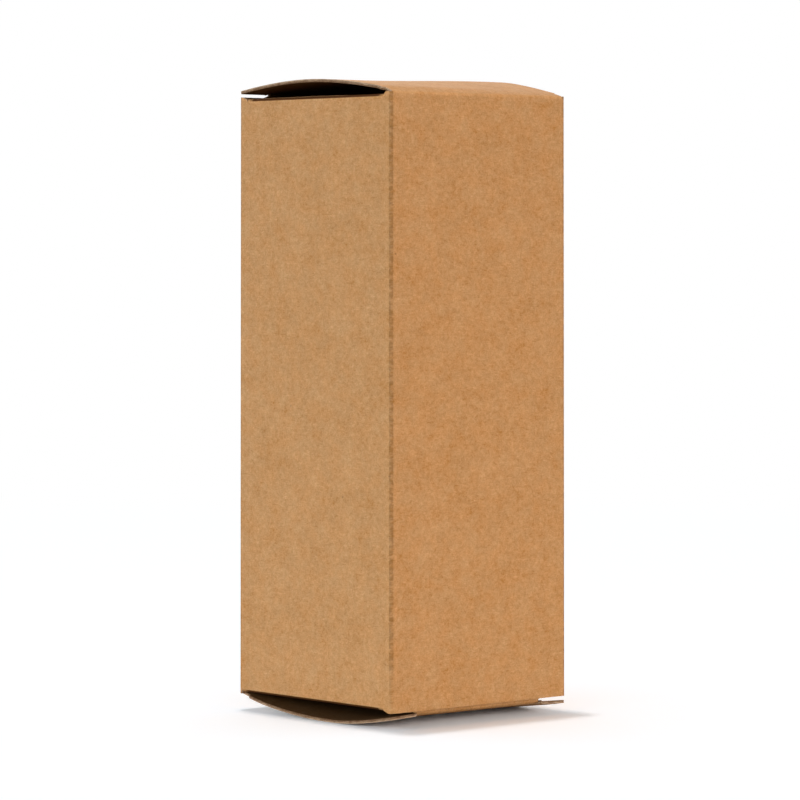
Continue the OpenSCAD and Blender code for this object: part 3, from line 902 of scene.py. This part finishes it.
def kraft_material():
    """Uncoated kraft board: cloudy formation, fine fibres in a few directions, dark flecks, pressed creases
    with painted shade and painted highlights on their ridges, and painted shade on the inside.
    """
    g = Graph(bpy.data.materials.new("kraft_board"))
    sheet = g.attribute("sheet", "Vector")
    crease = g.attribute("crease", "Fac")
    # How strong each fold's pressed line and its painted shade are
    press_and_shade = g.attribute("press_and_shade", "Fac")
    cut = g.attribute("cut", "Fac")

    # Lightness: formation clouds, mottling, grain and fibres
    clouds = g.noise(sheet, 0.17, 3.0, 0.55)
    patches = g.noise(sheet, 0.6, 2.0, 0.5, 0.4)
    mottle = g.noise(sheet, 1.7, 2.0, 0.6, 0.6)
    grain = g.noise(sheet, 4.2, 2.0, 0.6)
    wander = g.put("ShaderNodeTexNoise", {"Vector": sheet, "Scale": 0.5, "Detail": 1.0}).outputs["Color"]
    shifted = g.put("ShaderNodeVectorMath", {0: sheet, 1: wander}, operation="ADD").outputs[0]
    dark_fibres = 0.0
    light_fibres = 0.0
    for angle, seed in ((7, 0.0), (-28, 40.0), (48, 80.0)):
        lane = g.stretched(shifted, angle, (0.5, 5.0, 1.0))
        lane = g.put("ShaderNodeVectorMath", {0: lane, 1: (seed, seed, 0)}, operation="ADD").outputs[0]
        streak = g.noise(lane, 1.0, 1.0, 0.5)
        dark_fibres = g.math("MAXIMUM", g.remap(streak, 0.64, 0.76), dark_fibres)
        light_fibres = g.math("MAXIMUM", g.remap(streak, 0.36, 0.25), light_fibres)
    lightness = 0.0
    for value, centre, amount in ((clouds, 0.5, 0.07), (patches, 0.5, 0.08), (mottle, 0.5, 0.16),
                                  (grain, 0.5, 0.16), (dark_fibres, 0.0, -0.03), (light_fibres, 0.0, 0.03)):
        part = g.math("MULTIPLY", g.math("SUBTRACT", value, centre), amount)
        lightness = g.math("ADD", part, lightness)
    lighter = g.put("ShaderNodeVectorMath", {0: LIGHTER, "Scale": lightness}, operation="SCALE").outputs[0]

    # Hue: warmer and cooler patches on the faces; the cut edge darker towards the inner face and paler
    # towards the outer face, in torn streaks
    hue = g.remap(g.noise(sheet, 0.4, 3.0, 0.6), 0.25, 0.75)
    depth = g.put("ShaderNodeSeparateXYZ", {0: sheet}).outputs["Z"]
    torn = g.noise(g.stretched(sheet, 0, (0.7, 0.7, 3.0)), 0.9, 3.0, 0.7)
    cut_bands = g.math("ADD", g.math("MULTIPLY", depth, 0.55), torn)
    cut_bands = g.remap(cut_bands, 0.40, 0.78)
    face = g.mix(hue, (*KRAFT_COOL, 1), (*KRAFT_WARM, 1))
    edge = g.mix(cut_bands, (*CUT_DARK, 1), (*CUT_PALE, 1))
    plain = g.put("ShaderNodeVectorMath", {0: g.mix(cut, face, edge), 1: lighter}, operation="ADD").outputs[0]

    # Dark flecks, and the pressed line of each fold, darker fibres with painted shade of its groove, between
    # painted highlights on its ridges
    speck = g.put("ShaderNodeTexVoronoi", {"Vector": shifted, "Scale": 0.16, "Randomness": 1.0})
    rarity = g.put("ShaderNodeSeparateColor", {"Color": speck.outputs["Color"]}).outputs[0]
    fleck = g.math("MULTIPLY", g.remap(speck.outputs["Distance"], 0.035, 0.012), g.remap(rarity, 0.45, 0.6))
    worn = g.remap(g.noise(g.stretched(sheet, 0, (1.0, 0.7, 1.0)), 2.2, 2.0, 0.6), 0.35, 0.62, 0.25, 1.0)
    # Where the painted shade is stronger than a plain pressed line, as on the dust flaps, it is not broken up
    worn = g.math("MAXIMUM", worn, g.math("SUBTRACT", press_and_shade, 1.0))
    # Pressed line: darker fibres with painted shade of the fold's groove; on the dust flaps, painted shade
    # under the closure
    pressed_and_shaded = g.math("MULTIPLY", g.math("MULTIPLY", g.remap(crease, 0.25, 0.15), press_and_shade), worn)
    pressed_and_shaded = g.math("MINIMUM", g.math("MULTIPLY", pressed_and_shaded, 0.40), 0.97)
    # Painted highlights on the two low ridges beside each fold
    ridge_highlight = g.math("MULTIPLY", g.remap(crease, 0.45, 0.62), g.remap(crease, 0.85, 0.68))
    ridge_highlight = g.math("MULTIPLY", g.math("MULTIPLY", ridge_highlight, press_and_shade), worn)
    shade = g.math("SUBTRACT", 1.0, g.math("MULTIPLY", fleck, 0.4))
    shade = g.math("MULTIPLY", shade, g.math("ADD", 1.0, g.math("MULTIPLY", ridge_highlight, 0.06)))
    # Painted shade on the inner faces, which keep only a share of their colour
    inside = g.math("MULTIPLY", g.math("LESS_THAN", depth, -0.4), g.math("SUBTRACT", 1.0, cut))
    shade = g.math("MULTIPLY", shade, g.math("SUBTRACT", 1.0, g.math("MULTIPLY", inside, 1 - INSIDE_SHADE_KEEPS)))
    marked = g.mix(pressed_and_shaded, plain, (*KRAFT_PRESSED_SHADED, 1))
    colour = g.put("ShaderNodeVectorMath", {0: marked, "Scale": shade}, operation="SCALE").outputs[0]

    height = g.math("ADD", g.math("MULTIPLY", grain, 0.7), g.math("MULTIPLY", mottle, 0.3))
    height = g.math("ADD", height, g.math("MULTIPLY", dark_fibres, 0.25))
    bump = g.put("ShaderNodeBump", {"Height": height, "Strength": 0.35, "Distance": 0.00008})
    rough = g.remap(grain, 0.2, 0.8, 0.70, 0.84, smooth=False)
    dull = g.math("MAXIMUM", inside, pressed_and_shaded)
    rough = g.math("ADD", rough, g.math("MULTIPLY", dull, 0.3), clamp=True)
    gloss = g.remap(dull, 0.0, 1.0, 0.4, 0.04, smooth=False)
    surface = g.put("ShaderNodeBsdfPrincipled", {
        "Base Color": colour, "Roughness": rough, "Normal": bump.outputs[0], "Specular IOR Level": gloss})
    g.put("ShaderNodeOutputMaterial", {"Surface": surface.outputs[0]})
    return g.owner


def glue_material():
    """Dried carton glue: a dull, slightly uneven film."""
    g = Graph(bpy.data.materials.new("dried_glue"))
    place = g.put("ShaderNodeTexCoord").outputs["Object"]
    smear = g.noise(g.stretched(place, 0, (1, 1, 0.3)), 900.0, 3.0, 0.6)
    colour = g.mix(g.remap(smear, 0.3, 0.7), (0.66, 0.56, 0.40, 1), (0.78, 0.72, 0.58, 1))
    bump = g.put("ShaderNodeBump", {"Height": smear, "Strength": 0.3, "Distance": 0.00005})
    surface = g.put("ShaderNodeBsdfPrincipled", {
        "Base Color": colour, "Roughness": 0.45, "Normal": bump.outputs[0]})
    g.put("ShaderNodeOutputMaterial", {"Surface": surface.outputs[0]})
    return g.owner


# The floor, by distance from the carton's middle in metres: where what it throws back fades, from what to
# what, and where its shadows give way to plain white
BOUNCE_FADE = (0.05, 0.30)
BOUNCE_NEAR = (0.30, 0.30, 0.30)
BOUNCE_FAR = (0.06, 0.06, 0.06)
SHADOW_FADE = (0.20, 0.50)

# White of the floor near the carton, and what lifts it to full white under the soft light
FLOOR_WHITE = (0.96, 0.98, 1.0)
FLOOR_LIFT = (0.16, 0.18, 0.20)


def floor_material():
    """Plain white floor. The camera sees it white with the carton's shadow; its bounce fades outwards."""
    g = Graph(bpy.data.materials.new("white_floor"))
    seen = g.seen_plainly()
    place = g.put("ShaderNodeTexCoord").outputs["Object"]
    away = g.put("ShaderNodeVectorMath", {0: place}, operation="LENGTH").outputs["Value"]
    pale = g.mix(g.remap(away, *BOUNCE_FADE), (*BOUNCE_NEAR, 1), (*BOUNCE_FAR, 1))
    plain = g.put("ShaderNodeBsdfDiffuse", {"Color": pale})
    near = g.put("ShaderNodeBsdfDiffuse", {"Color": (*FLOOR_WHITE, 1)})
    lift = g.put("ShaderNodeBsdfDiffuse", {"Color": (*FLOOR_LIFT, 1)})
    near = g.put("ShaderNodeAddShader", {0: near.outputs[0], 1: lift.outputs[0]})
    far = g.put("ShaderNodeEmission", {"Color": (1, 1, 1, 1), "Strength": 1.0})
    fade = g.remap(away, *SHADOW_FADE)
    white = g.put("ShaderNodeMixShader", {0: fade, 1: near.outputs[0], 2: far.outputs[0]})
    mix = g.put("ShaderNodeMixShader", {0: seen, 1: plain.outputs[0], 2: white.outputs[0]})
    g.put("ShaderNodeOutputMaterial", {"Surface": mix.outputs[0]})
    return g.owner


# Stage, lights and camera

def floor():
    """Wide flat floor at the height that the carton stands on."""
    size = 4.0
    corners = [(-size, -size, 0), (size, -size, 0), (size, size, 0), (-size, size, 0)]
    mesh = bpy.data.meshes.new("floor")
    mesh.from_pydata(corners, [], [(0, 1, 2, 3)])
    plane = bpy.data.objects.new("floor", mesh)
    bpy.context.scene.collection.objects.link(plane)
    mesh.materials.append(floor_material())


# The soft surroundings: a band of light, and the heights over which it comes in and fades. It is a little
# cooler at the back left and a little warmer at the front right.
BAND_STRENGTH = 5.55
BAND_STARTS = (0.04, 0.16)
BAND_ENDS = (0.25, 0.45)
LIGHT_COOL = (0.96, 1.06, 1.14)
LIGHT_WARM = (1.04, 0.94, 0.87)
WARM_SIDE = (0.707, -0.707, 0.0)


def world_light():
    """White surroundings for whatever sees them. As a light they are a soft band low over the floor."""
    g = Graph(bpy.data.worlds.new("studio"))
    bpy.context.scene.world = g.owner
    seen = g.seen_plainly()
    direction = g.put("ShaderNodeTexCoord").outputs["Generated"]
    height = g.put("ShaderNodeSeparateXYZ", {0: direction}).outputs["Z"]
    comes_in = g.remap(height, *BAND_STARTS, 0.0, BAND_STRENGTH)
    strength = g.math("MULTIPLY", comes_in, g.remap(height, *BAND_ENDS[::-1]))
    across = g.put("ShaderNodeVectorMath", {0: direction, 1: WARM_SIDE}, operation="DOT_PRODUCT")
    warmth = g.remap(across.outputs["Value"], -1.0, 1.0, smooth=False)
    tint = g.mix(warmth, (*LIGHT_COOL, 1), (*LIGHT_WARM, 1))
    band = g.put("ShaderNodeBackground", {"Color": tint, "Strength": strength})
    white = g.put("ShaderNodeBackground", {"Color": (1, 1, 1, 1), "Strength": 1.0})
    mix = g.put("ShaderNodeMixShader", {0: seen, 1: band.outputs[0], 2: white.outputs[0]})
    g.put("ShaderNodeOutputWorld", {"Surface": mix.outputs[0]})


# The lamp: the point that it shines on, the direction of the lamp from there, its distance and side in
# metres, and its power in watts
LAMP_AIM = Vector((0, 0, 0.048))
LAMP_TOWARDS = Vector((0.0, 0.045, 1.0))
LAMP_DISTANCE = 1.1
LAMP_SIZE = 0.04
LAMP_POWER = 3.9


def overhead_lamp():
    """Small square lamp nearly straight above, which gives the carton its shadow."""
    light = bpy.data.lights.new("overhead", "AREA")
    light.shape = "SQUARE"
    light.size = LAMP_SIZE
    light.energy = LAMP_POWER
    lamp = bpy.data.objects.new("overhead", light)
    bpy.context.scene.collection.objects.link(lamp)
    away = LAMP_TOWARDS.normalized()
    lamp.location = LAMP_AIM + away * LAMP_DISTANCE
    lamp.rotation_mode = "QUATERNION"
    lamp.rotation_quaternion = away.to_track_quat("Z", "Y")


# The photograph's camera: place in millimetres, heading from +Y towards +X, pitch below the horizon
CAMERA_PLACE = (-389.6, -443.3, 72.6)
CAMERA_HEADING = 41.283
CAMERA_PITCH = 2.425
CAMERA_LENS = 174.38


def camera():
    """A long lens at the photograph's place."""
    data = bpy.data.cameras.new("camera")
    data.sensor_width = 36
    data.lens = CAMERA_LENS
    data.clip_start = 0.01
    data.clip_end = 20
    view = bpy.data.objects.new("camera", data)
    bpy.context.scene.collection.objects.link(view)
    view.location = Vector(CAMERA_PLACE) * MM
    view.rotation_euler = (math.radians(90 - CAMERA_PITCH), 0, math.radians(-CAMERA_HEADING))
    bpy.context.scene.camera = view


# The object
kraft = kraft_material()

sleeve = sleeve_board()
sleeve.data.materials.append(kraft)
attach(sleeve, "sleeve")
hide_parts("sleeve")

top = closure_board("carton_top_closure", TOP_LEFT, TOP_RIGHT, TOP_FOLD_H, TOP_EAR_H, at_top,
                    fibres=40, seed=11)
bottom = closure_board("carton_bottom_closure", BOTTOM_LEFT, BOTTOM_RIGHT, BOTTOM_FOLD_H, BOTTOM_EAR_H,
                       at_bottom, fibres=40, seed=23)

# Each closure takes the kraft material and is baked in place, and the frame's closure is hidden; the points a
# little before and after its crease are worked out but not used
BEND_BEFORE = 0.21
BEND_AFTER = 0.32
for piece, node, place in ((top, "top_closure", at_top), (bottom, "bottom_closure", at_bottom)):
    piece.data.materials.append(kraft)
    ends = place(np.array([[0, HINGE_Y - BEND_BEFORE, HINGE_Z - BEND_BEFORE],
                           [0, HINGE_Y + BEND_AFTER, HINGE_Z + BEND_AFTER]])) * MM
    tuple(ends[0])
    tuple(ends[1])
    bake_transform(piece)
    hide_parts(node)

glue = frame["nodes"]["glue_line"]
glue.data.materials.clear()
glue.data.materials.append(glue_material())

floor()
world_light()
overhead_lamp()
camera()

view_settings = bpy.context.scene.view_settings
view_settings.view_transform = "Standard"
